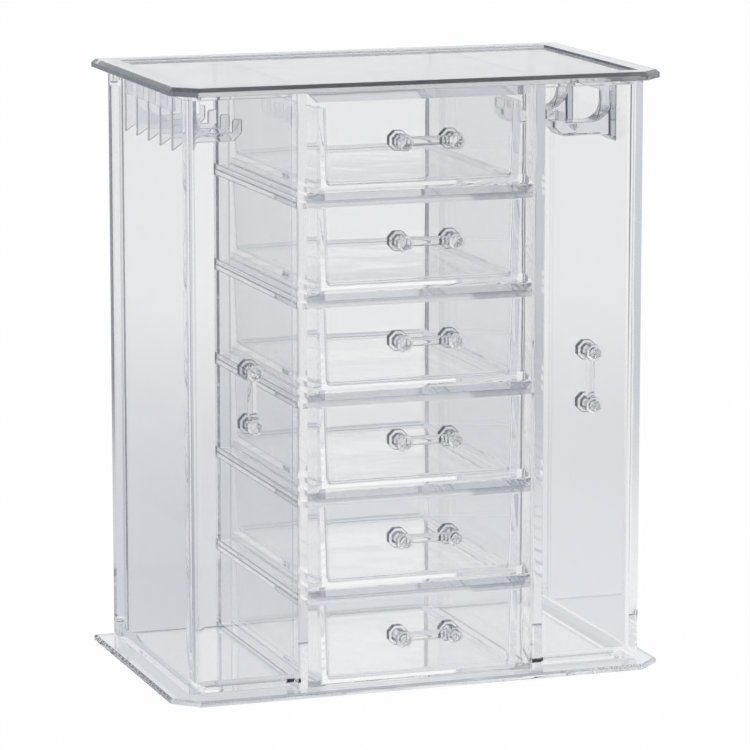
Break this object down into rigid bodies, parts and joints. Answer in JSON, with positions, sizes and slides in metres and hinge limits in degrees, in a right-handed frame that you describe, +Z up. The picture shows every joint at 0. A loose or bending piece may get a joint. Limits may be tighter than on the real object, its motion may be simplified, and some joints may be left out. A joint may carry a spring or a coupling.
{
  "type": "jewelry organizer",
  "caption": "Clear acrylic jewellery cabinet with a centre column of drawers and a hinged side door on each side that carries hooks for necklaces or bracelets.",
  "frame": {"origin": "centre of the base plate's underside, on the surface it stands on", "axes": "+Z up, the drawers and doors face -Y, +X to the right seen from the front"},
  "size_m": [0.28, 0.174, 0.33],
  "materials": {
    "clear_acrylic": "clear injection-moulded acrylic, polished",
    "magnet": "dark plated magnet, satin"
  },
  "bodies": {
    "cabinet": {"base_plate": "clear_acrylic", "top_plate": "clear_acrylic", "left_partition": "clear_acrylic", "right_partition": "clear_acrylic", "back_panel": "clear_acrylic", "shelf_1": "clear_acrylic", "shelf_2": "clear_acrylic", "shelf_3": "clear_acrylic", "shelf_4": "clear_acrylic", "shelf_5": "clear_acrylic", "left_runners": "clear_acrylic", "right_runners": "clear_acrylic", "left_hinge_pins": "clear_acrylic", "right_hinge_pins": "clear_acrylic", "left_post_magnet": "magnet", "right_post_magnet": "magnet"},
    "drawer_1": {"drawer_1": "clear_acrylic", "drawer_handle_1": "clear_acrylic"},
    "drawer_2": {"drawer_2": "clear_acrylic", "drawer_handle_2": "clear_acrylic"},
    "drawer_3": {"drawer_3": "clear_acrylic", "drawer_handle_3": "clear_acrylic"},
    "drawer_4": {"drawer_4": "clear_acrylic", "drawer_handle_4": "clear_acrylic"},
    "drawer_5": {"drawer_5": "clear_acrylic", "drawer_handle_5": "clear_acrylic"},
    "drawer_6": {"drawer_6": "clear_acrylic", "drawer_handle_6": "clear_acrylic"},
    "left_door": {"left_door": "clear_acrylic", "left_door_handle": "clear_acrylic", "left_hook_rack": "clear_acrylic", "left_door_magnet": "magnet"},
    "right_door": {"right_door": "clear_acrylic", "right_door_handle": "clear_acrylic", "right_hook_rack": "clear_acrylic", "right_door_magnet": "magnet"}
  },
  "joints": [
    {"name": "drawer_1_slide", "type": "slide", "parent": "cabinet", "child": "drawer_1", "axis": [0, -1, 0], "range_m": [0, 0.11]},
    {"name": "drawer_2_slide", "type": "slide", "parent": "cabinet", "child": "drawer_2", "axis": [0, -1, 0], "range_m": [0, 0.11]},
    {"name": "drawer_3_slide", "type": "slide", "parent": "cabinet", "child": "drawer_3", "axis": [0, -1, 0], "range_m": [0, 0.11]},
    {"name": "drawer_4_slide", "type": "slide", "parent": "cabinet", "child": "drawer_4", "axis": [0, -1, 0], "range_m": [0, 0.11]},
    {"name": "drawer_5_slide", "type": "slide", "parent": "cabinet", "child": "drawer_5", "axis": [0, -1, 0], "range_m": [0, 0.11]},
    {"name": "drawer_6_slide", "type": "slide", "parent": "cabinet", "child": "drawer_6", "axis": [0, -1, 0], "range_m": [0, 0.11]},
    {"name": "left_door_hinge", "type": "hinge", "parent": "cabinet", "child": "left_door", "pos_m": [-0.1244, 0.077, 0.1642], "axis": [0, 0, -1], "range_deg": [0, 100]},
    {"name": "right_door_hinge", "type": "hinge", "parent": "cabinet", "child": "right_door", "pos_m": [0.1244, 0.077, 0.1642], "axis": [0, 0, 1], "range_deg": [0, 100]}
  ]
}
